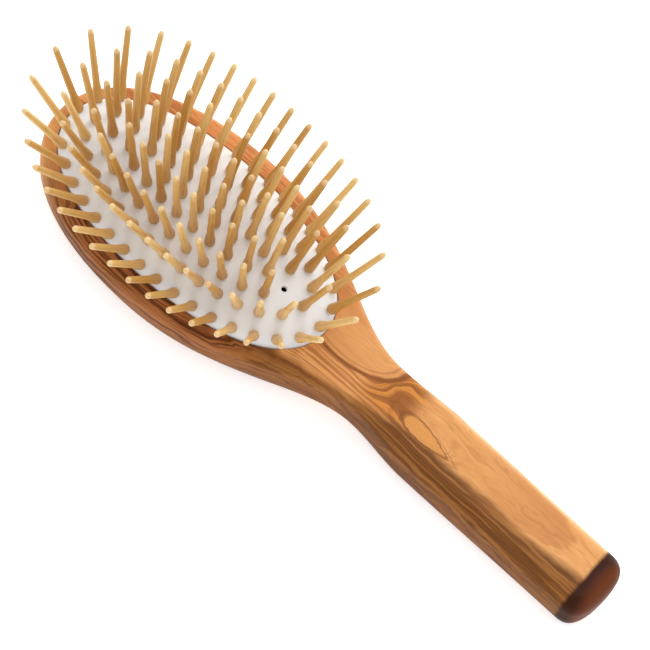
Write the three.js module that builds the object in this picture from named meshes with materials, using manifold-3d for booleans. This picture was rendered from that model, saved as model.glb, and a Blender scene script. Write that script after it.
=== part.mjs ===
// Oval cushion hairbrush: a one-piece wooden body with a routed recess, a domed rubber air cushion
// whose lip sits in a groove under the rim, and turned wooden pins threaded through the rubber.
// Millimetres, +Z up (the way the pins point), +X from the head's tip towards the handle's end.
// The origin is at the middle of the base of the whole brush's box.

import * as THREE from "three";
import { mergeVertices } from "three/addons/utils/BufferGeometryUtils.js";
import Module from "manifold-3d";

// ---- Wooden body -------------------------------------------------------------------------------
const BRUSH_LENGTH = 225;
const BODY_THICKNESS = 16;
const HEAD_HALF_WIDTH = 32.7;
const HEAD_CENTRE_X = 57.3; // from the tip to the widest place of the head
const HEAD_ROUNDNESS = 2.17; // 2 is an ellipse, more is squarer
const SHOULDER_HALF_WIDTH = 17.9;
const SHOULDER_SLOPE = 0.5;
const SHOULDER_LEAD = 0.5; // how far before the opening's handle end the shoulder lies
const NECK_FROM_SHOULDER = 24;
const NECK_HALF_WIDTH = 10.4;
const GRIP_FROM_NECK = 22;
const GRIP_HALF_WIDTH = 12.2;
const BUTT_HALF_WIDTH = 11.8;
const BUTT_CORNER = 6.4;
const BUTT_CROWN_RADIUS = 20;
const FACE_EDGE_RADIUS = 2;
const BACK_EDGE_INSET = 5.6;
const BACK_EDGE_RISE = 8.5;
// How far each curve of the outline runs on straight before it bends.
const WIDEST_REACH = 23;
const SHOULDER_REACH = 15;
const NECK_REACH = 8;

// ---- Recess and cushion --------------------------------------------------------------------------
const RIM_AT_SIDES = 6.8;
const RIM_AT_TIP = 4.1;
const OPENING_HALF_LENGTH = HEAD_CENTRE_X - RIM_AT_TIP;
const OPENING_HALF_WIDTH = HEAD_HALF_WIDTH - RIM_AT_SIDES;
const OPENING_ROUNDNESS = 2.19;
const RECESS_FLOOR_Z = 5;
const RECESS_CORNER = 3;
const RUBBER_THICKNESS = 1.2;
const RUBBER_GAP = 0.3;
const RIM_LIP_THICKNESS = 2; // the wood between the groove and the rim's face
const GROOVE_DEPTH = 1.8;
const GROOVE_TOP_Z = BODY_THICKNESS - RIM_LIP_THICKNESS;
const GROOVE_SPARE = 0.9; // room under the rubber's lip
const GROOVE_HEIGHT = RUBBER_THICKNESS + RUBBER_GAP + GROOVE_SPARE;
const RUBBER_EDGE_DROP = 0.7; // the dome starts this far under the rim's face
const DOME_HEIGHT = 7.6;
const DOME_FULLNESS = 0.54; // the lower it is, the flatter the crown and the steeper the edge
const VENT_RADIUS = 0.95;
const SHOULDER_X = HEAD_CENTRE_X + OPENING_HALF_LENGTH - SHOULDER_LEAD;
const NECK_X = SHOULDER_X + NECK_FROM_SHOULDER;
const GRIP_X = NECK_X + GRIP_FROM_NECK;

// ---- Pins ------------------------------------------------------------------------------------------
const PIN_LENGTH = 25.4; // above the rubber
const PIN_TIP_RADIUS = 0.85;
const PIN_SHAFT_RADIUS = 1.05;
const PIN_FOOT_RADIUS = 1.8;
const PIN_FLARE_HEIGHT = 8;
const PIN_FOOT_GAP = 0.45;
const PIN_NECK_RADIUS = 0.8;
const PIN_HEAD_RADIUS = 1.4;
const PIN_HEAD_THICKNESS = 0.8;
const PIN_HEAD_GAP = 0.8;
const PIN_SIDES = 5;
const PIN_LINK_RADIUS = 0.3;
const OUTER_PINS_FROM_EDGE = 2.5;
const OUTER_LEVEL = 1 - OUTER_PINS_FROM_EDGE / OPENING_HALF_WIDTH;
// Level is how far out a ring is: 0 at the middle of the cushion, 1 at the opening's edge.
const RINGS = [
  { name: "outer_pins", level: OUTER_LEVEL, extraLength: 0, count: 36, perNode: 6, ventInstead: false },
  { name: "second_ring_pins", level: 0.66, extraLength: 0, count: 30, perNode: 5, ventInstead: false },
  { name: "third_ring_pin", level: 0.456, extraLength: 0, count: 24, perNode: 1, ventInstead: true },
  { name: "fourth_ring_pin", level: 0.22, extraLength: 3.5, count: 18, perNode: 1, ventInstead: false },
];
const CENTRE_ROW = { name: "centre_pin", count: 5, pitch: 7 };
// How far a pin leans outwards for each millimetre of dome height, as a slope.
const LEAN_ALONG = { linear: 0.024, fifth: 0.061, mixed: 0.02 };
const LEAN_ACROSS = { linear: 0.065, cubic: 0.054, mixed: 0.077 };

// ---- How finely the curved surfaces are cut ------------------------------------------------------------
const TIP_STEPS = 16;
const OUTLINE_CURVE_STEPS = 7;
const BACK_EDGE_STEPS = 4;
const FACE_EDGE_STEPS = 2;
const RECESS_SIDES = 48;
const RUBBER_SIDES = 32;
const RUBBER_LEVELS = [0.42, 0.7, 0.88, 0.97];
const VENT_SIDES = 8;
const NECK_HOLE_SIDES = 4;
const LINK_SIDES = 4;
const RING_CURVE_POINTS = 180;
const CUT_SPARE = 1; // how far a cut runs past the face it opens
const HOLE_CUT_LENGTH = 6 * RUBBER_THICKNESS;

// ---- Materials ---------------------------------------------------------------------------------------
const OLIVE_WOOD = new THREE.MeshStandardMaterial({ color: 0xc98b4e, roughness: 0.5, metalness: 0 });
const NATURAL_RUBBER = new THREE.MeshStandardMaterial({ color: 0xe9e3d6, roughness: 0.65, metalness: 0 });
const PIN_WOOD = new THREE.MeshStandardMaterial({ color: 0xd2a469, roughness: 0.55, metalness: 0 });

const wasm = await Module();
wasm.setup();

// A closed three.js geometry as a manifold-3d solid.
function solidFrom(geometry) {
  const bare = geometry.index ? geometry.toNonIndexed() : geometry.clone();
  bare.deleteAttribute("normal");
  bare.deleteAttribute("uv");
  const merged = mergeVertices(bare, 1e-4);
  return new wasm.Manifold(
    new wasm.Mesh({
      numProp: 3,
      vertProperties: merged.attributes.position.array,
      triVerts: new Uint32Array(merged.index.array),
    }),
  );
}

// A manifold-3d solid as a three.js geometry.
function geometryFrom(solid) {
  const mesh = solid.getMesh();
  const geometry = new THREE.BufferGeometry();
  geometry.setAttribute("position", new THREE.BufferAttribute(mesh.vertProperties, 3));
  geometry.setIndex(new THREE.BufferAttribute(mesh.triVerts, 1));
  geometry.computeVertexNormals();
  return geometry;
}

function namedMesh(name, solid, material) {
  const mesh = new THREE.Mesh(geometryFrom(solid), material);
  mesh.name = name;
  return mesh;
}

// ---- Oval helpers ------------------------------------------------------------------------------------

// How much a squarish oval stands out beyond an ellipse in this direction.
function ovalStretch(angle, roundness) {
  const along = Math.abs(Math.cos(angle)) ** roundness;
  const across = Math.abs(Math.sin(angle)) ** roundness;
  return (along + across) ** (-1 / roundness);
}

function ovalPoint(halfLength, halfWidth, angle, roundness) {
  const stretch = ovalStretch(angle, roundness);
  return new THREE.Vector2(
    HEAD_CENTRE_X + halfLength * Math.cos(angle) * stretch,
    halfWidth * Math.sin(angle) * stretch,
  );
}

// The half length of the oval that has this half width: an even step in from the opening all round.
function matchingHalfLength(halfWidth) {
  const narrowing = halfWidth / OPENING_HALF_WIDTH;
  return OPENING_HALF_LENGTH * narrowing ** (OPENING_HALF_WIDTH / OPENING_HALF_LENGTH);
}

// Turns a cross-section drawn at the middle of the head, (half width, height), into an oval solid.
function ovalSolid(section, segments) {
  const geometry = new THREE.LatheGeometry(section, segments).rotateX(Math.PI / 2);
  const position = geometry.attributes.position;
  for (let i = 0; i < position.count; i++) {
    const halfWidth = Math.hypot(position.getX(i), position.getY(i));
    const angle = Math.atan2(position.getY(i), position.getX(i));
    const plan = ovalPoint(matchingHalfLength(halfWidth), halfWidth, angle, OPENING_ROUNDNESS);
    position.setXY(i, plan.x, plan.y);
  }
  return solidFrom(geometry);
}

// How far out a place is on the cushion, found by halving: 0 at the middle, 1 at the opening's edge.
function ovalLevel(x, y) {
  let inner = 0;
  let outer = 1;
  for (let step = 0; step < 30; step++) {
    const level = (inner + outer) / 2;
    const halfWidth = level * OPENING_HALF_WIDTH;
    const along = Math.abs((x - HEAD_CENTRE_X) / matchingHalfLength(halfWidth)) ** OPENING_ROUNDNESS;
    const across = Math.abs(y / halfWidth) ** OPENING_ROUNDNESS;
    if (along + across < 1) outer = level;
    else inner = level;
  }
  return (inner + outer) / 2;
}

function domeHeight(level) {
  const start = BODY_THICKNESS - RUBBER_EDGE_DROP;
  return start + DOME_HEIGHT * Math.max(0, 1 - level * level) ** DOME_FULLNESS;
}

// ---- Wooden body -------------------------------------------------------------------------------------

// The tip's quarter on the near side, from the tip to the widest place.
function tipPoints() {
  return Array.from({ length: TIP_STEPS + 1 }, (_, i) => {
    const angle = Math.PI + (Math.PI / 2) * (i / TIP_STEPS);
    const stretch = ovalStretch(angle, HEAD_ROUNDNESS);
    return new THREE.Vector2(
      HEAD_CENTRE_X * (1 + Math.cos(angle) * stretch),
      HEAD_HALF_WIDTH * Math.sin(angle) * stretch,
    );
  });
}

// The outline's points behind the widest place, on the near side (-1) or the far side (1).
function flankPoints(side) {
  const shoulderInWidth = SHOULDER_HALF_WIDTH + SHOULDER_SLOPE * SHOULDER_REACH;
  const shoulderOutWidth = SHOULDER_HALF_WIDTH - SHOULDER_SLOPE * NECK_REACH;
  return {
    widest: [HEAD_CENTRE_X, side * HEAD_HALF_WIDTH],
    widestOut: [HEAD_CENTRE_X + WIDEST_REACH, side * HEAD_HALF_WIDTH],
    shoulderIn: [SHOULDER_X - SHOULDER_REACH, side * shoulderInWidth],
    shoulder: [SHOULDER_X, side * SHOULDER_HALF_WIDTH],
    shoulderOut: [SHOULDER_X + NECK_REACH, side * shoulderOutWidth],
    neckIn: [NECK_X - NECK_REACH, side * NECK_HALF_WIDTH],
    neck: [NECK_X, side * NECK_HALF_WIDTH],
    neckOut: [NECK_X + NECK_REACH, side * NECK_HALF_WIDTH],
    gripIn: [GRIP_X - NECK_REACH, side * GRIP_HALF_WIDTH],
    grip: [GRIP_X, side * GRIP_HALF_WIDTH],
  };
}

// The brush seen from above: tip at x = 0, handle's end at x = BRUSH_LENGTH. The handle ends in a
// shallow crown that runs smoothly into two rounded corners.
function bodyOutline() {
  const near = flankPoints(-1);
  const far = flankPoints(1);
  const cornerY = BUTT_HALF_WIDTH - BUTT_CORNER;
  const crownX = BRUSH_LENGTH - BUTT_CROWN_RADIUS;
  const betweenCentres = BUTT_CROWN_RADIUS - BUTT_CORNER;
  const cornerX = crownX + Math.sqrt(betweenCentres ** 2 - cornerY ** 2);
  const meeting = Math.asin(cornerY / betweenCentres);
  const tip = tipPoints();

  const outline = new THREE.Shape();
  outline.moveTo(tip[0].x, tip[0].y);
  tip.slice(1).forEach((point) => outline.lineTo(point.x, point.y));
  outline.bezierCurveTo(...near.widestOut, ...near.shoulderIn, ...near.shoulder);
  outline.bezierCurveTo(...near.shoulderOut, ...near.neckIn, ...near.neck);
  outline.bezierCurveTo(...near.neckOut, ...near.gripIn, ...near.grip);
  outline.lineTo(cornerX, -BUTT_HALF_WIDTH);
  outline.absarc(cornerX, -cornerY, BUTT_CORNER, -Math.PI / 2, -meeting);
  outline.absarc(crownX, 0, BUTT_CROWN_RADIUS, -meeting, meeting);
  outline.absarc(cornerX, cornerY, BUTT_CORNER, meeting, Math.PI / 2);
  outline.lineTo(...far.grip);
  outline.bezierCurveTo(...far.gripIn, ...far.neckOut, ...far.neck);
  outline.bezierCurveTo(...far.neckIn, ...far.shoulderOut, ...far.shoulder);
  outline.bezierCurveTo(...far.shoulderIn, ...far.widestOut, ...far.widest);
  tip
    .slice(1, -1)
    .reverse()
    .forEach((point) => outline.lineTo(point.x, -point.y));
  return outline;
}

// A slab of the outline whose two faces have rounded edges.
function roundedSlab(outline, bottom, top, inset, rise, edgeSegments) {
  const geometry = new THREE.ExtrudeGeometry(outline, {
    depth: top - bottom - 2 * rise,
    curveSegments: OUTLINE_CURVE_STEPS,
    bevelEnabled: true,
    bevelSize: inset,
    bevelOffset: -inset,
    bevelThickness: rise,
    bevelSegments: edgeSegments,
  });
  return solidFrom(geometry.translate(0, 0, bottom + rise));
}

function woodenBody() {
  const outline = bodyOutline();
  const spare = 2 * BODY_THICKNESS;
  const backRounded = roundedSlab(outline, 0, spare, BACK_EDGE_INSET, BACK_EDGE_RISE, BACK_EDGE_STEPS);
  const radius = FACE_EDGE_RADIUS;
  const faceRounded = roundedSlab(outline, -spare, BODY_THICKNESS, radius, radius, FACE_EDGE_STEPS);
  const grooveBottom = GROOVE_TOP_Z - GROOVE_HEIGHT;
  const recess = ovalSolid(
    [
      new THREE.Vector2(0, RECESS_FLOOR_Z),
      new THREE.Vector2(OPENING_HALF_WIDTH - RECESS_CORNER, RECESS_FLOOR_Z),
      new THREE.Vector2(OPENING_HALF_WIDTH, RECESS_FLOOR_Z + RECESS_CORNER),
      new THREE.Vector2(OPENING_HALF_WIDTH, grooveBottom),
      new THREE.Vector2(OPENING_HALF_WIDTH + GROOVE_DEPTH, grooveBottom),
      new THREE.Vector2(OPENING_HALF_WIDTH + GROOVE_DEPTH, GROOVE_TOP_Z),
      new THREE.Vector2(OPENING_HALF_WIDTH, GROOVE_TOP_Z),
      new THREE.Vector2(OPENING_HALF_WIDTH, BODY_THICKNESS + CUT_SPARE),
      new THREE.Vector2(0, BODY_THICKNESS + CUT_SPARE),
    ],
    RECESS_SIDES,
  );
  return backRounded.intersect(faceRounded).subtract(recess);
}

// ---- Pins ------------------------------------------------------------------------------------------

// Where a pin stands on the cushion and which way it points.
function pinPlace(x, y) {
  const along = (x - HEAD_CENTRE_X) / OPENING_HALF_LENGTH;
  const across = y / OPENING_HALF_WIDTH;
  const leanAlong =
    LEAN_ALONG.linear * along + LEAN_ALONG.fifth * along ** 5 + LEAN_ALONG.mixed * along * across ** 2;
  const leanAcross =
    LEAN_ACROSS.linear * across + LEAN_ACROSS.cubic * across ** 3 + LEAN_ACROSS.mixed * across * along ** 2;
  const direction = new THREE.Vector3(DOME_HEIGHT * leanAlong, DOME_HEIGHT * leanAcross, 1).normalize();
  const foot = new THREE.Vector3(x, y, domeHeight(ovalLevel(x, y)));
  return { foot, direction };
}

// The places of one ring, spaced evenly along it from its handle end.
function ringPlaces(ring) {
  const halfWidth = ring.level * OPENING_HALF_WIDTH;
  const halfLength = matchingHalfLength(halfWidth) + ring.extraLength;
  const corners = [];
  for (let i = 0; i < RING_CURVE_POINTS; i++) {
    const angle = (2 * Math.PI * i) / RING_CURVE_POINTS;
    const plan = ovalPoint(halfLength, halfWidth, angle, OPENING_ROUNDNESS);
    corners.push(new THREE.Vector3(plan.x, plan.y, 0));
  }
  const curve = new THREE.CatmullRomCurve3(corners, true);
  curve.arcLengthDivisions = 4 * RING_CURVE_POINTS;
  return curve
    .getSpacedPoints(ring.count)
    .slice(0, ring.count)
    .map((point) => pinPlace(point.x, point.y));
}

function centrePlaces() {
  const start = HEAD_CENTRE_X - ((CENTRE_ROW.count - 1) * CENTRE_ROW.pitch) / 2;
  return Array.from({ length: CENTRE_ROW.count }, (_, i) => pinPlace(start + i * CENTRE_ROW.pitch, 0));
}

// Stands a geometry made along +Y at a pin's foot, pointing the pin's way.
function standUp(geometry, place) {
  const turn = new THREE.Quaternion().setFromUnitVectors(new THREE.Vector3(0, 1, 0), place.direction);
  const matrix = new THREE.Matrix4().compose(place.foot, turn, new THREE.Vector3(1, 1, 1));
  return solidFrom(geometry.applyMatrix4(matrix));
}

const HEAD_TOP = -(RUBBER_THICKNESS + PIN_HEAD_GAP);

function pinSolid(place) {
  const profile = [
    [0, HEAD_TOP - PIN_HEAD_THICKNESS],
    [PIN_HEAD_RADIUS, HEAD_TOP],
    [PIN_NECK_RADIUS, HEAD_TOP],
    [PIN_NECK_RADIUS, PIN_FOOT_GAP],
    [PIN_FOOT_RADIUS, PIN_FOOT_GAP],
    [PIN_SHAFT_RADIUS, PIN_FLARE_HEIGHT],
    [PIN_TIP_RADIUS, PIN_LENGTH - PIN_TIP_RADIUS],
    [0, PIN_LENGTH],
  ].map(([radius, height]) => new THREE.Vector2(radius, height));
  return standUp(new THREE.LatheGeometry(profile, PIN_SIDES), place);
}

// The middle of a pin's hidden head.
function headCentre(place) {
  return place.foot.clone().addScaledVector(place.direction, HEAD_TOP - PIN_HEAD_THICKNESS / 2);
}

// A thin rod under the rubber between two neighbouring heads, which makes one node of a few pins.
function linkSolid(from, to) {
  const start = headCentre(from);
  const span = headCentre(to).sub(start);
  const rod = new THREE.CylinderGeometry(PIN_LINK_RADIUS, PIN_LINK_RADIUS, span.length(), LINK_SIDES);
  rod.translate(0, span.length() / 2, 0);
  return standUp(rod, { foot: start, direction: span.clone().normalize() });
}

// One node of one or more neighbouring pins.
function pinGroup(name, places) {
  let solid = pinSolid(places[0]);
  for (let i = 1; i < places.length; i++) {
    solid = solid.add(pinSolid(places[i])).add(linkSolid(places[i - 1], places[i]));
  }
  return namedMesh(name, solid, PIN_WOOD);
}

// ---- Cushion -----------------------------------------------------------------------------------------

// The hole that a pin's neck passes through.
function neckHole(place) {
  const clearance = (PIN_NECK_RADIUS + RUBBER_GAP) * Math.SQRT2;
  return standUp(new THREE.CylinderGeometry(clearance, clearance, HOLE_CUT_LENGTH, NECK_HOLE_SIDES), place);
}

function rubberCushion(places, ventPlace) {
  const edge = OPENING_HALF_WIDTH - RUBBER_GAP;
  const lipTop = GROOVE_TOP_Z - RUBBER_GAP;
  const lipBottom = lipTop - RUBBER_THICKNESS;
  const lipReach = OPENING_HALF_WIDTH + GROOVE_DEPTH - RUBBER_GAP;
  const crown = RUBBER_LEVELS.map((level) => new THREE.Vector2(level * edge, domeHeight(level)));
  const middle = new THREE.Vector2(0, domeHeight(0));
  const foot = new THREE.Vector2(edge, domeHeight(1));
  const hollow = crown.map((point, i) => {
    const before = crown[i - 1] ?? middle;
    const after = crown[i + 1] ?? foot;
    const slope = after.clone().sub(before).normalize();
    return point.clone().add(new THREE.Vector2(slope.y, -slope.x).multiplyScalar(RUBBER_THICKNESS));
  });
  const shell = ovalSolid(
    [
      new THREE.Vector2(0, domeHeight(0) - RUBBER_THICKNESS),
      ...hollow,
      new THREE.Vector2(edge - RUBBER_THICKNESS, lipBottom),
      new THREE.Vector2(lipReach, lipBottom),
      new THREE.Vector2(lipReach, lipTop),
      new THREE.Vector2(edge, lipTop),
      ...crown.reverse(),
      middle,
    ],
    RUBBER_SIDES,
  );
  const vent = new THREE.CylinderGeometry(VENT_RADIUS, VENT_RADIUS, HOLE_CUT_LENGTH, VENT_SIDES);
  const holes = places.map(neckHole);
  holes.push(standUp(vent, ventPlace));
  return holes.reduce((rest, hole) => rest.subtract(hole), shell);
}

// ---- Assembly ----------------------------------------------------------------------------------------

const brush = new THREE.Group();
brush.name = "cushion_hairbrush";
brush.add(namedMesh("wooden_body", woodenBody(), OLIVE_WOOD));

const pinPlaces = centrePlaces();
pinPlaces.forEach((place, i) => brush.add(pinGroup(`${CENTRE_ROW.name}_${i + 1}`, [place])));
let ventPlace;
for (const ring of RINGS) {
  const places = ringPlaces(ring);
  if (ring.ventInstead) ventPlace = places.shift();
  pinPlaces.push(...places);
  for (let first = 0; first < places.length; first += ring.perNode) {
    const number = String(first / ring.perNode + 1).padStart(2, "0");
    brush.add(pinGroup(`${ring.name}_${number}`, places.slice(first, first + ring.perNode)));
  }
}
brush.add(namedMesh("rubber_cushion", rubberCushion(pinPlaces, ventPlace), NATURAL_RUBBER));
const box = new THREE.Box3().setFromObject(brush);
brush.position.x = -(box.min.x + box.max.x) / 2;

export default brush;
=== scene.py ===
# %% [markdown]
# # An oval cushion hairbrush in olive wood
#
# The brush is a one-piece olive wood body with a recess routed into its head. A domed sheet of white
# rubber is held by its lip in a groove under the rim, and 112 turned wooden pins stand in the rubber.
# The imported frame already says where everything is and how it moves: pressing the cushion lets the
# rubber and the five groups of pins sink. This lesson makes the surfaces that a person sees.

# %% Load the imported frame
import bmesh
import bpy
import math
import random
from mathutils import Matrix, Vector


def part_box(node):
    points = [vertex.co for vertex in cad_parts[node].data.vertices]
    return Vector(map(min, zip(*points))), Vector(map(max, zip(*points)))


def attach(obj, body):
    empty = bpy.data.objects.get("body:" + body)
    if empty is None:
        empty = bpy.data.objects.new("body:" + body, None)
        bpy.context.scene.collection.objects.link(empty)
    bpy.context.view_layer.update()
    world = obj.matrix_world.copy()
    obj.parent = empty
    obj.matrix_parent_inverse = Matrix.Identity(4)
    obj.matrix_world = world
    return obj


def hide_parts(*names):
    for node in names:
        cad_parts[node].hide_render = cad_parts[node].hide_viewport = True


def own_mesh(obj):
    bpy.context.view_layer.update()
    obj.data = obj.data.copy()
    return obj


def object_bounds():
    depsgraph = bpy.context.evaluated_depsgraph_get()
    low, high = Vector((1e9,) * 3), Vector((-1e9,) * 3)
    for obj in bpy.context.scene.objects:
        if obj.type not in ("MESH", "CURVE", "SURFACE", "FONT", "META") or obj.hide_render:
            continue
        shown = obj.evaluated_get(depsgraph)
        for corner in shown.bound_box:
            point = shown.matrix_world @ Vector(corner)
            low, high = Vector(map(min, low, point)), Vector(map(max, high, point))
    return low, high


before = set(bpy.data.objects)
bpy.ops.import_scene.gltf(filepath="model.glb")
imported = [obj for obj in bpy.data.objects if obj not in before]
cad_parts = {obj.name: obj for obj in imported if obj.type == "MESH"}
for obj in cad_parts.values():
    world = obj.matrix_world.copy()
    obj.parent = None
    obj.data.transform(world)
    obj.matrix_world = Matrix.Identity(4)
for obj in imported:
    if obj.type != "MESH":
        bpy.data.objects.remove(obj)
cad_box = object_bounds()
MM = 0.001
print("CAD box in mm:", [[round(value / MM, 1) for value in corner] for corner in cad_box])

# %% [markdown]
# ## Camera
#
# A long lens, well back, looks down on the brush from the handle's near side. It is rolled a little,
# so the brush runs from the upper left to the lower right of the view. The camera is placed with
# two directions: one from the brush back to the lens, and one that says which way is up.

# %% Camera
CAMERA_AZIMUTH = math.radians(29.364)
CAMERA_ELEVATION = math.radians(62.275)
CAMERA_ROLL = math.radians(15.653)
CAMERA_DISTANCE = 782.14 * MM
CAMERA_LENS = 144.0
SENSOR_WIDTH = 36
AIM_FROM_MIDDLE = (-1.24, 3.46)
AIM_HEIGHT = 15
brush_middle = (cad_box[0] + cad_box[1]) / 2
look_at = Vector((
    brush_middle.x + AIM_FROM_MIDDLE[0] * MM,
    brush_middle.y + AIM_FROM_MIDDLE[1] * MM,
    AIM_HEIGHT * MM,
))

back = Vector((
    math.sin(CAMERA_AZIMUTH) * math.cos(CAMERA_ELEVATION),
    -math.cos(CAMERA_AZIMUTH) * math.cos(CAMERA_ELEVATION),
    math.sin(CAMERA_ELEVATION),
))
level_right = Vector((math.cos(CAMERA_AZIMUTH), math.sin(CAMERA_AZIMUTH), 0))
roll = Matrix.Rotation(CAMERA_ROLL, 3, back)
right = roll @ level_right
up = back.cross(right)

bpy.ops.object.camera_add()
camera = bpy.context.object
camera.name = "studio_camera"
camera.data.lens = CAMERA_LENS
camera.data.sensor_width = SENSOR_WIDTH
facing = Matrix((right, up, back)).transposed()
camera.matrix_world = Matrix.Translation(look_at + back * CAMERA_DISTANCE) @ facing.to_4x4()
bpy.context.scene.camera = camera
print("camera stands", round(CAMERA_DISTANCE, 3), "m from the brush")

# %% [markdown]
# ## Floor and light
#
# The brush lies on a plain pale floor, which glows a little so that it stays white. A bright world fills
# every shadow, as a white tent does, and three soft lamps give the wood its gentle shine: the strongest
# above the far side, a weak one in front, and a low one behind, which draws the bright line along the
# far edge. The colours are shown without a film look.

# %% Floor and light
FLOOR_SIZE = 6
PAPER_TONE = 0.97
PAPER_ROUGHNESS = 0.9
PAPER_GLOW = 0.5
TENT_BRIGHTNESS = 0.78
bpy.context.scene.view_settings.view_transform = "Standard"

bpy.ops.mesh.primitive_plane_add(size=FLOOR_SIZE)
floor = bpy.context.object
floor.name = "studio_floor"
paper = bpy.data.materials.new("white_paper")
paper.use_nodes = True
paper_inputs = paper.node_tree.nodes["Principled BSDF"].inputs
paper_inputs["Base Color"].default_value = (PAPER_TONE, PAPER_TONE, PAPER_TONE, 1)
paper_inputs["Roughness"].default_value = PAPER_ROUGHNESS
paper_inputs["Emission Color"].default_value = (1, 1, 1, 1)
paper_inputs["Emission Strength"].default_value = PAPER_GLOW
floor.data.materials.append(paper)

world = bpy.data.worlds.new("white_tent")
bpy.context.scene.world = world
world.use_nodes = True
world.node_tree.nodes["Background"].inputs["Color"].default_value = (1, 1, 1, 1)
world.node_tree.nodes["Background"].inputs["Strength"].default_value = TENT_BRIGHTNESS


def soft_lamp(name, place, size, power):
    """A round lamp, in metres and watts, that points at the brush."""
    bpy.ops.object.light_add(type="AREA", location=place)
    lamp = bpy.context.object
    lamp.name = name
    lamp.data.shape = "DISK"
    lamp.data.size = size
    lamp.data.energy = power
    lamp.rotation_euler = (look_at - Vector(place)).to_track_quat("-Z", "Y").to_euler()


soft_lamp("key_lamp", (-0.25, 0.75, 1.0), 0.9, 6.5)
soft_lamp("fill_lamp", (0.7, -0.8, 0.9), 0.9, 1.5)
soft_lamp("edge_lamp", (0.1, 1.3, 0.4), 0.6, 3.0)
print("three soft lamps over the floor")

# %% [markdown]
# ## Modelling helpers
#
# Every outline on this brush is a smooth closed curve, so each is drawn as a Bezier loop with few
# points and long handles and then turned into a mesh loop. Edit mode does the rest: the loop is
# extruded, resized and moved, section by section, the way a bowl is shaped from its rim.

# %% Modelling helpers
NEARLY = 0.01  # mm: how close two heights have to be to count as one


def deselect():
    if bpy.context.object and bpy.context.object.mode != "OBJECT":
        bpy.ops.object.mode_set(mode="OBJECT")
    bpy.ops.object.select_all(action="DESELECT")


def use(thing):
    deselect()
    thing.select_set(True)
    bpy.context.view_layer.objects.active = thing


def edit(thing):
    use(thing)
    bpy.ops.object.mode_set(mode="EDIT")


def pick(thing, test):
    """In edit mode, selects the vertices whose place passes the test, and what lies between them."""
    bpy.ops.mesh.select_mode(type="VERT")
    bpy.ops.mesh.select_all(action="DESELECT")
    mesh = bmesh.from_edit_mesh(thing.data)
    for vertex in mesh.verts:
        vertex.select_set(test(vertex.co))
    mesh.select_flush(True)
    bmesh.update_edit_mesh(thing.data)


def apply_modifier(thing, kind, **settings):
    use(thing)
    modifier = thing.modifiers.new(kind.lower(), kind)
    for name, value in settings.items():
        setattr(modifier, name, value)
    bpy.ops.object.modifier_apply(modifier=modifier.name)


def bezier_loop(name, knots, steps):
    """A closed mesh loop. Each knot is a point with the handles before and after it, as (x, y) in mm."""
    deselect()
    bpy.ops.curve.primitive_bezier_circle_add()
    loop = bpy.context.object
    loop.name = name
    loop.data.resolution_u = steps
    points = loop.data.splines[0].bezier_points
    points.add(len(knots) - len(points))
    for point, (before, place, after) in zip(points, knots):
        point.handle_left_type = "FREE"
        point.handle_right_type = "FREE"
        point.co = (place[0] * MM, place[1] * MM, 0)
        point.handle_left = (before[0] * MM, before[1] * MM, 0)
        point.handle_right = (after[0] * MM, after[1] * MM, 0)
    bpy.ops.object.convert(target="MESH")
    return bpy.context.object


def smooth_share(value, start, end):
    """0 up to start, 1 from end on, and a smooth climb between."""
    along = min(1, max(0, (value - start) / (end - start)))
    return along * along * (3 - 2 * along)


def count_faces(thing):
    print(thing.name, "has", len(thing.data.polygons), "faces")


print("helpers ready")

# %% [markdown]
# ## Sizes
#
# The body's own length axis starts at the head's tip, so the head's sizes are measured from there and
# shifted by the frame's own box. The opening in the head is a slightly squarish oval. Stepping in
# from its edge evenly all round needs the length and the width to shrink by different shares.

# %% Sizes, in mm
TIP_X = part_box("wooden_body")[0].x / MM
BODY_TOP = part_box("wooden_body")[1].z / MM
HEAD_HALF_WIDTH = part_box("wooden_body")[1].y / MM
BRUSH_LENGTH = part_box("wooden_body")[1].x / MM - TIP_X
HEAD_CENTRE = 57.3
OPENING_HALF_LENGTH = 53.2
OPENING_HALF_WIDTH = 25.9
OPENING_ROUNDNESS = 2.19
RUBBER_EDGE_DROP = 0.7
DOME_HEIGHT = 7.6
DOME_FULLNESS = 0.54
DOME_FOOT = BODY_TOP - RUBBER_EDGE_DROP
HEAD_X = TIP_X + HEAD_CENTRE
head_centre = Vector((HEAD_X * MM, 0, 0))
print("head centre is at x =", round(HEAD_X, 2), "mm")


def squarish_pull(roundness):
    """The Bezier handle, as a share of the quarter's side, that gives an oval of this roundness."""
    return (8 * 2 ** (-1 / roundness) - 4) / 3


def matching_half_length(half_width):
    narrowing = half_width / OPENING_HALF_WIDTH
    return OPENING_HALF_LENGTH * narrowing ** (OPENING_HALF_WIDTH / OPENING_HALF_LENGTH)


def dome_height(level):
    """The rubber's height at a level: 0 is the middle of the cushion and 1 the opening's edge."""
    return DOME_FOOT + DOME_HEIGHT * max(0, 1 - level * level) ** DOME_FULLNESS


# %% [markdown]
# ## Wooden body
#
# One board, sawn to the outline, with its back edges rounded over deeply and its face edges lightly.
# It could be carved from a subdivided block, but a saw and a router make it faster: the outline is
# extruded to the board's thickness, its two edge loops are bevelled, and the back's bevel is
# stretched downwards, because the real one is deeper than it is wide.

# %% The board's outline
HEAD_ROUNDNESS = 2.17
SHOULDER = (110, 17.9)
SHOULDER_SLOPE = 0.5
NECK = (134, 10.4)
GRIP = (156, 12.2)
BUTT = (217.6, 11.8)
WIDEST_REACH = 23
SHOULDER_REACH = 15
NECK_REACH = 8
BUTT_REACH = 6.0
BUTT_CROWN_REACH = 7.8
OUTLINE_STEPS = 18


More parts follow.
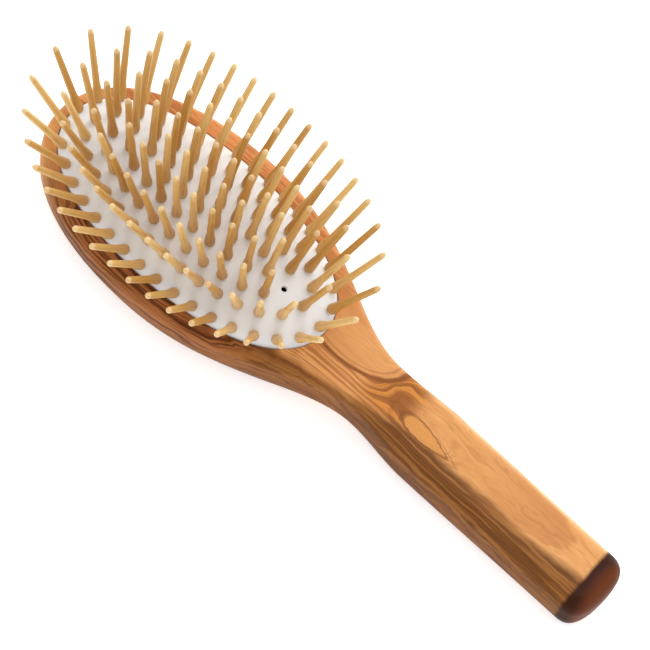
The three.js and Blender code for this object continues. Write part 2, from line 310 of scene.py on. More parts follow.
def near_side_knots():
    pull = squarish_pull(HEAD_ROUNDNESS)
    width = HEAD_HALF_WIDTH
    grip_third = (BUTT[0] - GRIP[0]) / 3
    return [
        ((0, pull * width), (0, 0), (0, -pull * width)),
        ((HEAD_CENTRE * (1 - pull), -width), (HEAD_CENTRE, -width), (HEAD_CENTRE + WIDEST_REACH, -width)),
        (
            (SHOULDER[0] - SHOULDER_REACH, -SHOULDER[1] - SHOULDER_SLOPE * SHOULDER_REACH),
            (SHOULDER[0], -SHOULDER[1]),
            (SHOULDER[0] + NECK_REACH, -SHOULDER[1] + SHOULDER_SLOPE * NECK_REACH),
        ),
        ((NECK[0] - NECK_REACH, -NECK[1]), (NECK[0], -NECK[1]), (NECK[0] + NECK_REACH, -NECK[1])),
        ((GRIP[0] - NECK_REACH, -GRIP[1]), (GRIP[0], -GRIP[1]), (GRIP[0] + grip_third, -GRIP[1])),
        ((BUTT[0] - grip_third, -BUTT[1]), (BUTT[0], -BUTT[1]), (BUTT[0] + BUTT_REACH, -BUTT[1])),
    ]


def mirrored(knot):
    before, place, after = knot
    return (after[0], -after[1]), (place[0], -place[1]), (before[0], -before[1])


def from_tip(knots):
    return [tuple((TIP_X + x, y) for x, y in knot) for knot in knots]


near_side = near_side_knots()
end_of_handle = ((BRUSH_LENGTH, -BUTT_CROWN_REACH), (BRUSH_LENGTH, 0), (BRUSH_LENGTH, BUTT_CROWN_REACH))
far_side = [mirrored(knot) for knot in reversed(near_side[1:])]
outline = from_tip([*near_side, end_of_handle, *far_side])
body = bezier_loop("wooden_body_shell", outline, OUTLINE_STEPS)
print("the outline has", len(body.data.vertices), "points")

# %% Board, face edge and back edge
FACE_EDGE = 2.6
BACK_EDGE_INSET = 5.6
BACK_EDGE_RISE = 8.5
board_foot = BACK_EDGE_RISE - BACK_EDGE_INSET

edit(body)
bpy.ops.mesh.select_all(action="SELECT")
bpy.ops.transform.translate(value=(0, 0, board_foot * MM))
bpy.ops.mesh.edge_face_add()
bpy.ops.mesh.extrude_region_move(TRANSFORM_OT_translate={"value": (0, 0, (BODY_TOP - board_foot) * MM)})
bpy.ops.mesh.select_all(action="SELECT")
bpy.ops.mesh.normals_make_consistent(inside=False)
pick(body, lambda place: place.z > (BODY_TOP - NEARLY) * MM)
bpy.ops.mesh.bevel(offset=FACE_EDGE * MM, segments=6, profile=0.5)
pick(body, lambda place: place.z < (board_foot + NEARLY) * MM)
bpy.ops.mesh.bevel(offset=BACK_EDGE_INSET * MM, segments=10, profile=0.5)
pick(body, lambda place: place.z < BACK_EDGE_RISE * MM)
bpy.ops.transform.resize(
    value=(1, 1, BACK_EDGE_RISE / BACK_EDGE_INSET),
    center_override=(0, 0, BACK_EDGE_RISE * MM),
)
bpy.ops.object.mode_set(mode="OBJECT")
count_faces(body)

# %% [markdown]
# The back isn't rounded alike all along: it is sanded in a little more under the head and left fuller
# under the handle, where the hand holds it. Every point below the bend moves sideways by a share
# that grows towards the back.

# %% Sanding the back
HEAD_SANDING = -0.06
HANDLE_FULLNESS = 0.1
HEAD_SANDING_END = HEAD_X + 30
HANDLE_FULLNESS_START = HEAD_X + 90
for vertex in body.data.vertices:
    depth = max(0, 1 - vertex.co.z / MM / BACK_EDGE_RISE)
    blend = smooth_share(vertex.co.x / MM, HEAD_SANDING_END, HANDLE_FULLNESS_START)
    vertex.co.y *= 1 + depth * (HEAD_SANDING + (HANDLE_FULLNESS - HEAD_SANDING) * blend)
print("back sanded")

# %% [markdown]
# The handle's face is rounder at its edges than the head's rim. The same bevel serves both: along the handle
# every point of it moves further down and further in, until its radius has almost doubled. At the
# end of the handle the points move towards the middle of the end's curve.

# %% Rounding the handle's face
EXTRA_ROUNDING = 0.9
ROUNDING_START = 22
ROUNDING_FULL = 44
END_CENTRE_X = cad_box[1].x / MM - 10
for vertex in body.data.vertices:
    drop = BODY_TOP - vertex.co.z / MM
    extra = EXTRA_ROUNDING * smooth_share(vertex.co.x / MM, ROUNDING_START, ROUNDING_FULL)
    if drop > FACE_EDGE + NEARLY or extra == 0:
        continue
    inset = FACE_EDGE - math.sqrt(max(0, FACE_EDGE**2 - (FACE_EDGE - drop) ** 2))
    outwards = Vector((max(0, vertex.co.x / MM - END_CENTRE_X), vertex.co.y / MM)).normalized()
    vertex.co.x -= outwards.x * extra * inset * MM
    vertex.co.y -= outwards.y * extra * inset * MM
    vertex.co.z -= extra * drop * MM
print("handle's face rounded")

# %% [markdown]
# ### The recess
#
# A router leaves a flat floor, walls with a groove for the rubber's lip, and a softened edge. The cutter is
# the exact shape of that empty space, built up in oval sections, and a Boolean takes it away.

# %% The recess
def oval_sections(name, sections, steps):
    """An open wall of ovals, each section given as (half width, height) in mm."""
    half_width, height = sections[0]
    half_length = matching_half_length(half_width)
    pull = squarish_pull(OPENING_ROUNDNESS)
    knots = []
    for x, y in ((-1, 0), (0, -1), (1, 0), (0, 1)):
        place = (HEAD_X + x * half_length, y * half_width)
        handle = (-y * pull * half_length, x * pull * half_width)
        before = (place[0] - handle[0], place[1] - handle[1])
        knots.append((before, place, (place[0] + handle[0], place[1] + handle[1])))
    wall = bezier_loop(name, knots, steps)
    edit(wall)
    bpy.ops.mesh.select_all(action="SELECT")
    bpy.ops.transform.translate(value=(0, 0, height * MM))
    for next_half_width, next_height in sections[1:]:
        next_half_length = matching_half_length(next_half_width)
        bpy.ops.mesh.extrude_edges_move(
            TRANSFORM_OT_translate={"value": (0, 0, (next_height - height) * MM)}
        )
        bpy.ops.transform.resize(
            value=(next_half_length / half_length, next_half_width / half_width, 1),
            center_override=head_centre,
        )
        half_width, half_length, height = next_half_width, next_half_length, next_height
    return wall


GROOVE_DEPTH = 1.8
GROOVE_FOOT = BODY_TOP - 4.4
GROOVE_TOP = BODY_TOP - 1.4
RECESS_FLOOR = 5
RECESS_CORNER = 3
CUTTER_SPARE = 2
CUTTER_STEPS = 32
SOFT_EDGE = 0.3
SOFT_EDGE_DEPTH = 0.4
SOFT_EDGE_MIDDLE = 0.08
SOFT_EDGE_MIDDLE_DEPTH = 0.15
WOOD_CREASE = math.radians(40)
opening = OPENING_HALF_WIDTH
cutter = oval_sections(
    "router_path",
    [
        (opening - RECESS_CORNER, RECESS_FLOOR),
        (opening, RECESS_FLOOR + RECESS_CORNER),
        (opening, GROOVE_FOOT),
        (opening + GROOVE_DEPTH, GROOVE_FOOT),
        (opening + GROOVE_DEPTH, GROOVE_TOP),
        (opening, GROOVE_TOP),
        (opening, BODY_TOP - SOFT_EDGE_DEPTH),
        (opening + SOFT_EDGE_MIDDLE, BODY_TOP - SOFT_EDGE_MIDDLE_DEPTH),
        (opening + SOFT_EDGE, BODY_TOP),
        (opening + SOFT_EDGE, BODY_TOP + CUTTER_SPARE),
    ],
    CUTTER_STEPS,
)
bpy.ops.mesh.select_all(action="SELECT")
bpy.ops.mesh.fill_holes(sides=0)
bpy.ops.mesh.normals_make_consistent(inside=False)
bpy.ops.object.mode_set(mode="OBJECT")
apply_modifier(body, "BOOLEAN", operation="DIFFERENCE", object=cutter, solver="EXACT")
bpy.data.objects.remove(cutter, do_unlink=True)
use(body)
bpy.ops.object.shade_smooth_by_angle(angle=WOOD_CREASE)
apply_modifier(body, "WEIGHTED_NORMAL", keep_sharp=True, weight=90)
count_faces(body)

# %% [markdown]
# ## Rubber cushion
#
# The cushion is a moulded sheet, thin and full of air. Its section goes from the lip, up the wall under the
# rim, and over the dome, and the same oval sections make it. A Solidify modifier gives the sheet
# its thickness, and a small hole near the handle lets the air in and out.

# %% Rubber cushion
RUBBER_THICKNESS = 1.2
RUBBER_GAP = 0.15
LIP_REACH = OPENING_HALF_WIDTH + GROOVE_DEPTH - RUBBER_GAP
LIP_TOP = DOME_FOOT - 1.6
RUBBER_STEPS = 28
EDGE = OPENING_HALF_WIDTH - RUBBER_GAP
DOME_LEVELS = (0.992, 0.975, 0.95, 0.915, 0.87, 0.81, 0.74, 0.66, 0.57, 0.47, 0.36, 0.25, 0.14, 0.05)
cushion = oval_sections(
    "rubber_dome",
    [
        (LIP_REACH, LIP_TOP),
        (EDGE, LIP_TOP),
        (EDGE, DOME_FOOT),
        *((EDGE * level, dome_height(level)) for level in DOME_LEVELS),
    ],
    RUBBER_STEPS,
)
bpy.ops.mesh.edge_face_add()
bpy.ops.mesh.poke()
bpy.ops.mesh.select_all(action="SELECT")
bpy.ops.mesh.normals_make_consistent(inside=False)
pick(cushion, lambda place: (place - Vector((head_centre.x, 0, place.z))).length < NEARLY * MM)
bpy.ops.transform.translate(value=(0, 0, (dome_height(0) - dome_height(DOME_LEVELS[-1])) * MM))
bpy.ops.object.mode_set(mode="OBJECT")
count_faces(cushion)

# %% [markdown]
# ## Where the pins stand
#
# Four ovals of pins and a short row in the middle, as in the frame. A pin leans outwards more the nearer it
# is to the edge, so the brush opens like a fan. The third oval gives up its pin nearest the handle to
# the air hole.

# %% Where the pins stand
PIN_LENGTH = 25.4
LEAN_ALONG = {"linear": 0.024, "fifth": 0.061, "mixed": 0.02}
LEAN_ACROSS = {"linear": 0.065, "cubic": 0.054, "mixed": 0.077}
OUTER_PINS_FROM_EDGE = 2.5
OUTER_LEVEL = 1 - OUTER_PINS_FROM_EDGE / OPENING_HALF_WIDTH
# Each ring's nodes, body, level, extra half length in mm, number of pins, and pins in one node.
RINGS = [
    ("outer_pins", "outer_ring", OUTER_LEVEL, 0, 36, 6),
    ("second_ring_pins", "second_ring", 0.66, 0, 30, 5),
    ("third_ring_pin", "third_ring", 0.456, 0, 24, 1),
    ("fourth_ring_pin", "fourth_ring", 0.22, 3.5, 18, 1),
]
VENT_RING = "third_ring_pin"
CENTRE_COUNT = 5
CENTRE_PITCH = 7


def oval_point(half_length, half_width, angle):
    along = abs(math.cos(angle)) ** OPENING_ROUNDNESS
    across = abs(math.sin(angle)) ** OPENING_ROUNDNESS
    stretch = (along + across) ** (-1 / OPENING_ROUNDNESS)
    return Vector((half_length * math.cos(angle) * stretch, half_width * math.sin(angle) * stretch))


def level_at(place):
    """How far out a place, measured from the head's centre, is: found by halving."""
    halvings = 30
    inner, outer = 0, 1
    for _ in range(halvings):
        level = (inner + outer) / 2
        half_width = level * OPENING_HALF_WIDTH
        along = abs(place.x / matching_half_length(half_width)) ** OPENING_ROUNDNESS
        across = abs(place.y / half_width) ** OPENING_ROUNDNESS
        if along + across < 1:
            outer = level
        else:
            inner = level
    return (inner + outer) / 2


def spaced_round(half_length, half_width, count):
    """Points spaced evenly along an oval, starting at its handle end."""
    fine = 720
    points = [oval_point(half_length, half_width, math.tau * i / fine) for i in range(fine + 1)]
    travelled = [0]
    for before, after in zip(points, points[1:]):
        travelled.append(travelled[-1] + (after - before).length)
    places = []
    step = 0
    for number in range(count):
        wanted = travelled[-1] * number / count
        while travelled[step + 1] < wanted:
            step += 1
        share = (wanted - travelled[step]) / (travelled[step + 1] - travelled[step])
        places.append(points[step].lerp(points[step + 1], share))
    return places


def stand(place):
    """The matrix that stands a pin, made upright at the origin, on the rubber at this place."""
    along = place.x / OPENING_HALF_LENGTH
    across = place.y / OPENING_HALF_WIDTH
    lean_x = LEAN_ALONG["linear"] * along + LEAN_ALONG["fifth"] * along**5
    lean_x += LEAN_ALONG["mixed"] * along * across**2
    lean_y = LEAN_ACROSS["linear"] * across + LEAN_ACROSS["cubic"] * across**3
    lean_y += LEAN_ACROSS["mixed"] * across * along**2
    direction = Vector((DOME_HEIGHT * lean_x, DOME_HEIGHT * lean_y, 1)).normalized()
    foot = Vector((HEAD_X + place.x, place.y, dome_height(level_at(place)))) * MM
    turn = Vector((0, 0, 1)).rotation_difference(direction).to_matrix().to_4x4()
    return Matrix.Translation(foot) @ turn


pin_nodes = []
first = -(CENTRE_COUNT - 1) * CENTRE_PITCH / 2
for number in range(CENTRE_COUNT):
    centre_place = Vector((first + number * CENTRE_PITCH, 0))
    pin_nodes.append((f"centre_pin_{number + 1}", "centre_row", [centre_place]))
for node, ring_body, level, longer, count, together in RINGS:
    half_width = level * OPENING_HALF_WIDTH
    places = spaced_round(matching_half_length(half_width) + longer, half_width, count)
    if node == VENT_RING:
        vent_place = places.pop(0)
    for start in range(0, len(places), together):
        name = f"{node}_{start // together + 1:02d}"
        pin_nodes.append((name, ring_body, places[start : start + together]))
print(sum(len(places) for _, _, places in pin_nodes), "pins in", len(pin_nodes), "nodes")

# %% The air hole and the sheet's thickness
VENT_RADIUS = 0.95
VENT_SIDES = 20
DRILL_LENGTH = 8
RUBBER_CREASE = math.radians(50)
apply_modifier(cushion, "SOLIDIFY", thickness=RUBBER_THICKNESS * MM, offset=-1, use_even_offset=True)
deselect()
bpy.ops.mesh.primitive_cylinder_add(
    vertices=VENT_SIDES,
    radius=VENT_RADIUS * MM,
    depth=DRILL_LENGTH * MM,
)
drill = bpy.context.object
drill.data.transform(stand(vent_place))
apply_modifier(cushion, "BOOLEAN", operation="DIFFERENCE", object=drill, solver="EXACT")
bpy.data.objects.remove(drill, do_unlink=True)
use(cushion)
bpy.ops.object.shade_smooth_by_angle(angle=RUBBER_CREASE)
count_faces(cushion)

# %% [markdown]
# ## One turned pin
#
# A pin is a thin stick with a rounded tip and a drop-shaped foot, which is set a little into the rubber.
# Turning it from a ring of ten sides, extruded and resized up the pin, keeps it to a few dozen faces,
# which matters when there are 112 of them. Its UV map runs round and up the stick, so that the grain
# can follow it.

# %% One turned pin
PIN_SIDES = 10
PIN_CREASE = math.radians(60)
# Radius and height above the rubber.
PIN_SECTIONS = [
    (0.75, -0.9),
    (1.2, 0.0),
    (1.74, 0.85),
    (1.66, 2.6),
    (1.2, 6.6),
    (0.98, 24.3),
    (0.58, 25.2),
]
deselect()
radius, height = PIN_SECTIONS[0]
bpy.ops.mesh.primitive_circle_add(vertices=PIN_SIDES, radius=radius * MM, location=(0, 0, height * MM))
pin = bpy.context.object
pin.name = "turned_pin"
edit(pin)
for next_radius, next_height in PIN_SECTIONS[1:]:
    growth = next_radius / radius
    bpy.ops.mesh.extrude_edges_move(TRANSFORM_OT_translate={"value": (0, 0, (next_height - height) * MM)})
    bpy.ops.transform.resize(value=(growth, growth, 1), center_override=(0, 0, 0))
    radius, height = next_radius, next_height
bpy.ops.mesh.edge_face_add()
bpy.ops.mesh.poke()
pick(pin, lambda place: place.z > (height - NEARLY) * MM and place.xy.length < NEARLY * MM)
bpy.ops.transform.translate(value=(0, 0, (PIN_LENGTH - height) * MM))
pick(pin, lambda place: place.z < (PIN_SECTIONS[0][1] + NEARLY) * MM)
bpy.ops.mesh.edge_face_add()
bpy.ops.mesh.select_all(action="SELECT")
bpy.ops.mesh.normals_make_consistent(inside=False)
bpy.ops.object.mode_set(mode="OBJECT")
bpy.ops.object.shade_smooth_by_angle(angle=PIN_CREASE)

grain_map = pin.data.uv_layers.new(name="grain_map")
for face in pin.data.polygons:
    face_angle = math.atan2(face.center.y, face.center.x)
    for corner in face.loop_indices:
        place = pin.data.vertices[pin.data.loops[corner].vertex_index].co
        turned = math.atan2(place.y, place.x) - face_angle
        turned = (turned + math.pi) % math.tau - math.pi
        round_share = (face_angle + turned) / math.tau + 0.5
        grain_map.data[corner].uv = (round_share, place.z / MM / PIN_LENGTH)
count_faces(pin)

# %% [markdown]
# ## Materials by hand-written maths
#
# A material is a little calculation that runs at every point of a surface. Written as Python, it stays
# readable: `Value` wraps one output of a node, so that adding or multiplying two of them adds the
# Math node, and `Finish` makes any other node from its type, its settings and its inputs.

# %% The shader helper
class Value:
    def __init__(self, finish, output):
        self.finish = finish
        self.output = output

    def __add__(self, other):
        return self.finish.maths("ADD", self, other)

    def __radd__(self, other):
        return self.finish.maths("ADD", other, self)

    def __sub__(self, other):
        return self.finish.maths("SUBTRACT", self, other)

    def __rsub__(self, other):
        return self.finish.maths("SUBTRACT", other, self)

    def __mul__(self, other):
        return self.finish.maths("MULTIPLY", self, other)

    def __rmul__(self, other):
        return self.finish.maths("MULTIPLY", other, self)

    def __truediv__(self, other):
        return self.finish.maths("DIVIDE", self, other)

    def __neg__(self):
        return self.finish.maths("MULTIPLY", self, -1)


class Finish:
    def __init__(self, name, roughness):
        self.material = bpy.data.materials.new(name)
        self.material.use_nodes = True
        self.tree = self.material.node_tree
        self.shader = self.tree.nodes["Principled BSDF"]
        self.shader.inputs["Roughness"].default_value = roughness

    def node(self, kind, settings=None, inputs=None, output=0):
        made = self.tree.nodes.new("ShaderNode" + kind)
        for name, setting in (settings or {}).items():
            setattr(made, name, setting)
        for name, value in (inputs or {}).items():
            self.put(made.inputs[name], value)
        return Value(self, made.outputs[output])

    def put(self, socket, value):
        if isinstance(value, Value):
            self.tree.links.new(value.output, socket)
        else:
            socket.default_value = value

    def set(self, name, value):
        self.put(self.shader.inputs[name], value)

    def maths(self, operation, first, second=0.0):
        return self.node("Math", {"operation": operation}, {0: first, 1: second})

    def rise(self, value, start, end):
        """0 before start, 1 after end, and a smooth step between; start may be the larger."""
        low, high = min(start, end), max(start, end)
        first, last = (0.0, 1.0) if start < end else (1.0, 0.0)
        inputs = {"Value": value, "From Min": low, "From Max": high, "To Min": first, "To Max": last}
        return self.node("MapRange", {"interpolation_type": "SMOOTHSTEP"}, inputs)

    def mix(self, share, first, second):
        """A colour between two others."""
        return self.node("Mix", {"data_type": "RGBA"}, {0: share, 6: first, 7: second}, output=2)

    def vector(self, x, y, z):
        return self.node("CombineXYZ", {}, {0: x, 1: y, 2: z})

    def noise(self, place, scale, detail, roughness):
        inputs = {"Vector": place, "Scale": scale, "Detail": detail, "Roughness": roughness}
        return self.node("TexNoise", {}, inputs)

    def bump(self, height, strength, distance):
        normal = self.node("Bump", {}, {"Height": height, "Strength": strength, "Distance": distance})
        self.set("Normal", normal)

    def axes(self, place):
        split = self.node("SeparateXYZ", {}, {0: place})
        return [Value(self, output) for output in split.output.node.outputs]


def colour(red, green, blue):
    """A colour given as 0-255 display values, as the linear one that a shader wants."""

    def linear(shown):
        return ((shown / 255 + 0.055) / 1.055) ** 2.4 if shown > 10 else shown / 255 / 12.92

    return (linear(red), linear(green), linear(blue), 1.0)


print("shader helper ready")

# %% [markdown]
# ## Olive wood
#
# Olive wood is prized for its restless figure: dark, thin growth lines that run with the grain, bend round
# knots and close into eyes. A wood texture node draws straight, even planks, so the figure is
# made like the tree made it. `layer` says how deep in the trunk a point lies. It rises across the
# board, is pushed aside by three knots, follows the near edge, and wavers a little. Noise looked up along
# `layer` gives irregular lines that can never cross, just as growth rings can't.

# %% Olive wood: where a point lies in the tree
wood = Finish("oiled_olive_wood", 0.42)
place = wood.node("TexCoord", {}, {}, "Object")
in_mm = wood.node("VectorMath", {"operation": "SCALE"}, {0: place, "Scale": 1 / MM})
x, y, z = wood.axes(in_mm)


def oval_distance(centre_x, centre_y, reach_x, reach_y):
    """0 at an oval's centre, 1 on its edge and more outside it."""
    away_x = (x - centre_x) / reach_x
    away_y = (y - centre_y) / reach_y
    return wood.maths("SQRT", away_x * away_x + away_y * away_y)


def knot(push, centre_x, centre_y, reach_x, reach_y):
    """How far a knot pushes the layers aside here."""
    away = oval_distance(centre_x, centre_y, reach_x, reach_y)
    return push * wood.maths("EXPONENT", -(away * away))


# A noise is stretched along the grain by shrinking x before it is looked up.
waver = wood.noise(wood.vector(x * 0.35, y, z), 0.045, 2.0, 0.45) - 0.5
ripple = wood.noise(wood.vector(x * 0.4, y, z), 0.26, 2.0, 0.55) - 0.5
brown_edge = -3.4 - 10 * wood.rise(x, 48, -12) + 1.6 * wood.rise(x, 84, 108)
near_share = wood.rise(y, 2, -14)
follow_neck = 17 * wood.rise(x, -52, 26) * near_share
follow_tip = 15 * wood.rise(x, -66, -112) * near_share
neck_drop = 13 * wood.rise(x, 20, 32) * wood.rise(y, -8, 4)
eye = knot(5.0, 44, -2.2, 8.0, 3.2)
rim_knot = knot(8, -46, -25, 30, 5)
blotch = knot(2.2, 80, 3, 17, 6)
straight_layers = y - follow_neck - follow_tip - neck_drop + 0.7 * (z - BODY_TOP)
layer = straight_layers + eye + rim_knot + blotch + 7 * waver + 3.4 * ripple

bands = wood.noise(wood.vector(x * 0.01, layer, 3.0), 0.16, 1.0, 0.5)
lines = wood.noise(wood.vector(x * 0.05, layer, 7.0), 0.62, 2.0, 0.55)
hairlines = wood.noise(wood.vector(x * 0.03, layer, 11.0), 2.4, 2.0, 0.6)
fibres = wood.noise(wood.vector(x * 0.12, y * 3.0, z * 3.0), 1.6, 3.0, 0.6)
growth_line = wood.rise(wood.maths("ABSOLUTE", lines - 0.5), 0.06, 0.0)
print("the layers are laid")

# %% [markdown]
# The colours go on from the broadest to the finest, each over the last: first the pale wood with its
# pinkish blotch, the orange far side of the head and the amber swirl where the neck joins the handle.
# A place is given in mm from the middle of the brush, and a soft edge by where it starts and ends.

# %% Olive wood: pale, orange and amber
BLOTCH = (70, 3, 28, 8.5)
POCKET = (8, 9, 19.5, 11)
pale = wood.mix(wood.rise(bands, 0.36, 0.6), colour(206, 137, 78), colour(232, 168, 104))
flushed = wood.mix(wood.rise(lines, 0.48, 0.7) * 0.4, pale, colour(204, 130, 66))
blotch_edge = oval_distance(*BLOTCH) + 0.5 * ripple
in_blotch = wood.rise(blotch_edge, 1.05, 0.95) * (0.1 + 0.5 * wood.rise(x, 54, 90))
blotched = wood.mix(in_blotch, flushed, colour(194, 124, 72))
far_head = wood.rise(x, 2, -30) * wood.rise(y, -5, 5)
orange = wood.mix(wood.rise(lines, 0.46, 0.56), colour(176, 104, 56), colour(222, 148, 92))
rim_coloured = wood.mix(far_head * 0.7, blotched, orange)

pocket_edge = oval_distance(*POCKET) + 0.08 * ripple
beside_pocket = wood.rise(pocket_edge, 0.98, 1.06)
swirl = beside_pocket * wood.rise(x, 17, 25) * wood.rise(x, 41, 33) * wood.rise(y, -9, -4)
amber = wood.mix(wood.rise(lines, 0.4, 0.56), colour(140, 74, 20), colour(208, 132, 54))
swirled = wood.mix(swirl * 0.85, rim_coloured, amber)
print("pale wood coloured")

# %% [markdown]
# Olive heartwood is brown and streaky. Here it runs along the near edge and has finer lines on the head's
# rim. Low on the near side the wood is darkened further, which is painted shade. A thin cream stripe
# along the far face edge of the handle is a painted highlight.

# %% Olive wood: brown heartwood, painted shade and a painted highlight
brown_here = wood.rise(y + 3 * ripple - brown_edge, 1.2, -2.6) * wood.rise(x, -104, -76)
streaks = 0.6 * lines + 0.4 * hairlines
brown = wood.mix(wood.rise(streaks, 0.43, 0.58), colour(96, 54, 20), colour(154, 100, 48))
browned = wood.mix(brown_here * 0.95, swirled, brown)
head_rim = wood.rise(x, -4, -20) * brown_here
rim_brown = wood.mix(wood.rise(lines, 0.42, 0.56), colour(86, 42, 12), colour(172, 108, 62))
rimmed = wood.mix(head_rim * wood.rise(z, 6, 13) * 0.8, browned, rim_brown)
# Painted shade: the near side is darkened further towards its low part, over the brown heartwood.
low_side_shaded = wood.mix(brown_here * wood.rise(z, 14, 5) * 0.45, rimmed, colour(92, 54, 26))

# Painted highlight: a cream stripe just under the handle's far face edge, where the light catches the
# rounding.
far_edge_highlight = wood.rise(z, BODY_TOP - 0.2, BODY_TOP - 1.6) * wood.rise(z, BODY_TOP - 6, BODY_TOP - 3)
far_edge_highlight = far_edge_highlight * wood.rise(y, 5, 8) * wood.rise(x, 24, 44)
edge_highlighted = wood.mix(far_edge_highlight * 0.7, low_side_shaded, colour(248, 214, 164))
print("heartwood and sapwood coloured")

# %% [markdown]
# The lines come last. Growth lines and hairlines follow the layers. Two outlines are drawn by their
# distance from an oval instead, because they have to close: the plain pocket on the neck and the
# pointed eye on the handle, whose oval narrows and leans as it goes.

# %% Olive wood: lines, pocket and eye
EYE_CENTRE = (44.5, -2.0)
EYE_REACH = (9.0, 3.0)
EYE_LEAN = 0.06
EYE_LEANS_FROM = 41
EYE_TAPER = 0.13
EYE_TAPERS_FROM = 40
knotty = wood.rise(x, 4, 24) * wood.rise(x, 66, 42)
lined = wood.mix(growth_line * (0.1 + 0.2 * knotty + 0.35 * brown_here), edge_highlighted, colour(100, 50, 16))
haired = wood.mix(wood.rise(hairlines, 0.5, 0.68) * (0.2 + 0.25 * brown_here), lined, colour(112, 60, 22))
in_pocket = wood.rise(pocket_edge, 1.0, 0.9) * wood.rise(x, -8, 2)
plain = wood.mix(in_pocket * 0.55, haired, colour(216, 152, 94))
below_pocket = beside_pocket * wood.rise(x, -12, 0) * wood.rise(x, 32, 18)
flamed = wood.mix(below_pocket * wood.rise(lines, 0.52, 0.44) * 0.7, plain, colour(160, 96, 46))
pocket_line = wood.rise(wood.maths("ABSOLUTE", pocket_edge - 1.0), 0.085, 0.02)
inner_line = wood.rise(wood.maths("ABSOLUTE", pocket_edge - 0.85), 0.04, 0.0)
pocket_lines = (pocket_line * 0.85 + inner_line * 0.35) * wood.rise(x, -6, 4)
outlined = wood.mix(pocket_lines, flamed, colour(126, 66, 26))
tremble = wood.noise(in_mm, 0.5, 2.0, 0.5) - 0.5
eye_x = (x - EYE_CENTRE[0] + 2.5 * tremble) / EYE_REACH[0]
leaning_y = y - EYE_CENTRE[1] + EYE_LEAN * (x - EYE_LEANS_FROM) + 1.2 * ripple + 0.9 * tremble
eye_y = leaning_y / (EYE_REACH[1] - EYE_TAPER * (x - EYE_TAPERS_FROM))
eye_edge = wood.maths("SQRT", eye_x * eye_x + eye_y * eye_y)
eyed = wood.mix(wood.rise(eye_edge, 1.0, 0.8) * 0.75, outlined, colour(216, 148, 78))
eye_line = wood.rise(wood.maths("ABSOLUTE", eye_edge - 1.03), 0.2, 0.02)
second_eye_line = wood.rise(wood.maths("ABSOLUTE", eye_edge - 1.5), 0.22, 0.0) * wood.rise(y, 3, -2)
eye_lines = (eye_line + second_eye_line * 0.6) * wood.rise(fibres, 0.15, 0.55) * 0.7
ringed = wood.mix(eye_lines, eyed, colour(120, 62, 22))
grained = wood.mix(wood.rise(fibres, 0.5, 0.75) * 0.32, ringed, colour(142, 84, 34))
print("lines drawn")

# %% [markdown]
# The handle's end has been dipped in a dark stain, which soaked in deepest at its edge and left the
# middle of the end a little redder. Oil gives the whole body a soft shine, and the fibres and
# hairlines are felt as well as seen, so they also feed a faint bump.

# %% Olive wood: the stained end and the oiled surface
CAP_LENGTH = 8.2
CAP_START = cad_box[1].x / MM - CAP_LENGTH
BUMP_HEIGHT = 0.00012
into_cap = x + 0.05 * y + 1.2 * ripple - CAP_START
cap = wood.rise(into_cap, -0.6, 1.0)
cap_light = wood.rise(into_cap - 0.012 * y * y + 3 * waver, 1.4, 6.5)
cap_colour = wood.mix(cap_light * (0.5 + 0.5 * fibres), colour(56, 24, 8), colour(116, 60, 30))
wood.set("Base Color", wood.mix(cap, grained, cap_colour))
wood.set("Specular IOR Level", 0.1)
wood.set("Roughness", 0.4 + 0.12 * fibres)
wood.bump(fibres + 0.5 * hairlines, 0.25, BUMP_HEIGHT)
body.data.materials.clear()
body.data.materials.append(wood.material)
print("olive wood has", len(wood.tree.nodes), "nodes")

# %% [markdown]
# ## White rubber
#
# Natural rubber for cushions is cast white and dull. It picks up a faint mottle from the mould, and its
# skin is a little pebbled. Two noises are enough: a slow one for the colour and a fine one for the
# skin. The white is mixed a touch cool, because the wood around it throws a warm light on it.

# %% White rubber
rubber = Finish("white_cushion_rubber", 0.55)
rubber_place = rubber.node("TexCoord", {}, {}, "Object")
mottle = rubber.noise(rubber_place, 90, 3.0, 0.55)
skin = rubber.noise(rubber_place, 2600, 2.0, 0.5)
mottled = rubber.mix(rubber.rise(mottle, 0.3, 0.7), colour(236, 240, 243), colour(244, 247, 249))
rubber.set("Base Color", mottled)
rubber.set("Roughness", 0.5 + 0.12 * skin)
rubber.bump(skin, 0.12, 0.00008)
cushion.data.materials.clear()
cushion.data.materials.append(rubber.material)
print("rubber has", len(rubber.tree.nodes), "nodes")

# %% [markdown]
# ## Pin wood
#
# The pins are turned from pale maple and no two are quite alike. Each pin carries a number, `tone`, that
# says how dark its stick was, and the grain runs along it by the UV map made above.

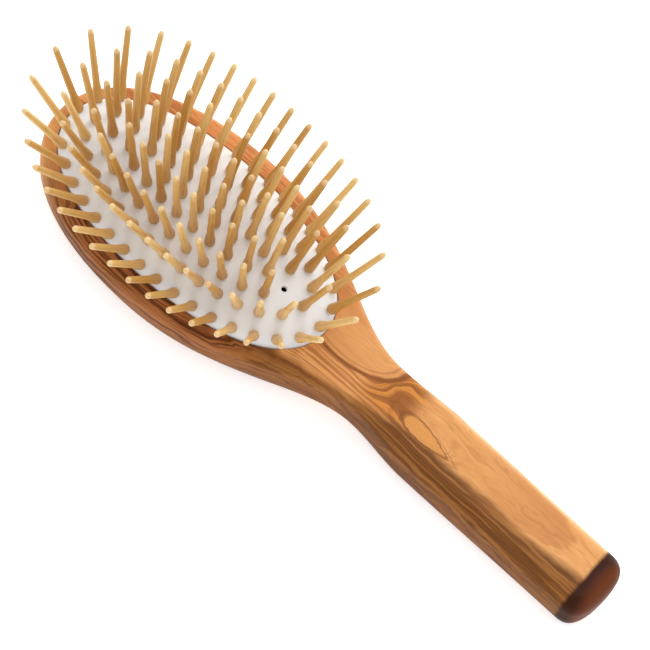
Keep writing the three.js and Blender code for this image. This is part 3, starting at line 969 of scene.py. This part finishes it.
# %% Pin wood
pin_wood = Finish("turned_maple", 0.48)
grain_place = pin_wood.node("UVMap", {"uv_map": "grain_map"})
round_pin, up_pin, _ = pin_wood.axes(grain_place)
tone = pin_wood.node("Attribute", {"attribute_name": "tone"}, {}, "Fac")
grain = pin_wood.noise(pin_wood.vector(round_pin * 9.0, up_pin * 2.2, tone * 40.0), 1.0, 3.0, 0.6)
stick = pin_wood.mix(tone, colour(238, 202, 132), colour(196, 146, 68))
# Painted shade: each pin is darker towards its foot, where the crowded pins shade one another.
foot_shaded = pin_wood.mix(pin_wood.rise(up_pin, 0.42, 0.02) * 0.4, stick, colour(198, 150, 76))
streaky = pin_wood.mix(pin_wood.rise(grain, 0.45, 0.75) * 0.45, foot_shaded, colour(166, 114, 44))
# Painted highlight: the rounded tip of each pin is mixed lighter.
tip_highlighted = pin_wood.mix(pin_wood.rise(up_pin, 0.965, 1.0) * 0.5, streaky, colour(244, 214, 164))
pin_wood.set("Base Color", tip_highlighted)
pin_wood.set("Roughness", 0.32 + 0.16 * grain)
pin_wood.bump(grain, 0.2, 0.0001)
pin.data.materials.append(pin_wood.material)
print("pin wood has", len(pin_wood.tree.nodes), "nodes")

# %% [markdown]
# ## Setting the pins
#
# The pin is copied to every place in the rubber. Each copy has its own mesh, turned a random way round and
# given its own tone, and the pins of one node are joined. Every group rides on the body that sinks
# with its part of the cushion.

# %% Setting the pins
chance = random.Random(7)


def set_pin(place):
    """A copy of the pin, standing at its place, with its place in its mesh."""
    copy = pin.copy()
    copy.data = pin.data.copy()
    bpy.context.collection.objects.link(copy)
    copy.data.transform(stand(place) @ Matrix.Rotation(chance.uniform(0, math.tau), 4, "Z"))
    tones = copy.data.attributes.new("tone", "FLOAT", "POINT")
    tones.data.foreach_set("value", [chance.random()] * len(copy.data.vertices))
    return copy


for node, ring_body, places in pin_nodes:
    pins = [set_pin(place) for place in places]
    use(pins[0])
    for other in pins[1:]:
        other.select_set(True)
    if len(pins) > 1:
        bpy.ops.object.join()
    pins[0].name = f"turned_{node}"
    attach(pins[0], ring_body)
    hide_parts(node)
bpy.data.objects.remove(pin, do_unlink=True)
print("pins set")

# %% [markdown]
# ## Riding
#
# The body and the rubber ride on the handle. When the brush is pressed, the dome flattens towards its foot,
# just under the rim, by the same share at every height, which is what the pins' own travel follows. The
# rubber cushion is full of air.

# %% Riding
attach(body, "handle_and_head")
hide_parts("wooden_body")
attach(cushion, "handle_and_head")
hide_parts("rubber_cushion")
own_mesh(cushion)
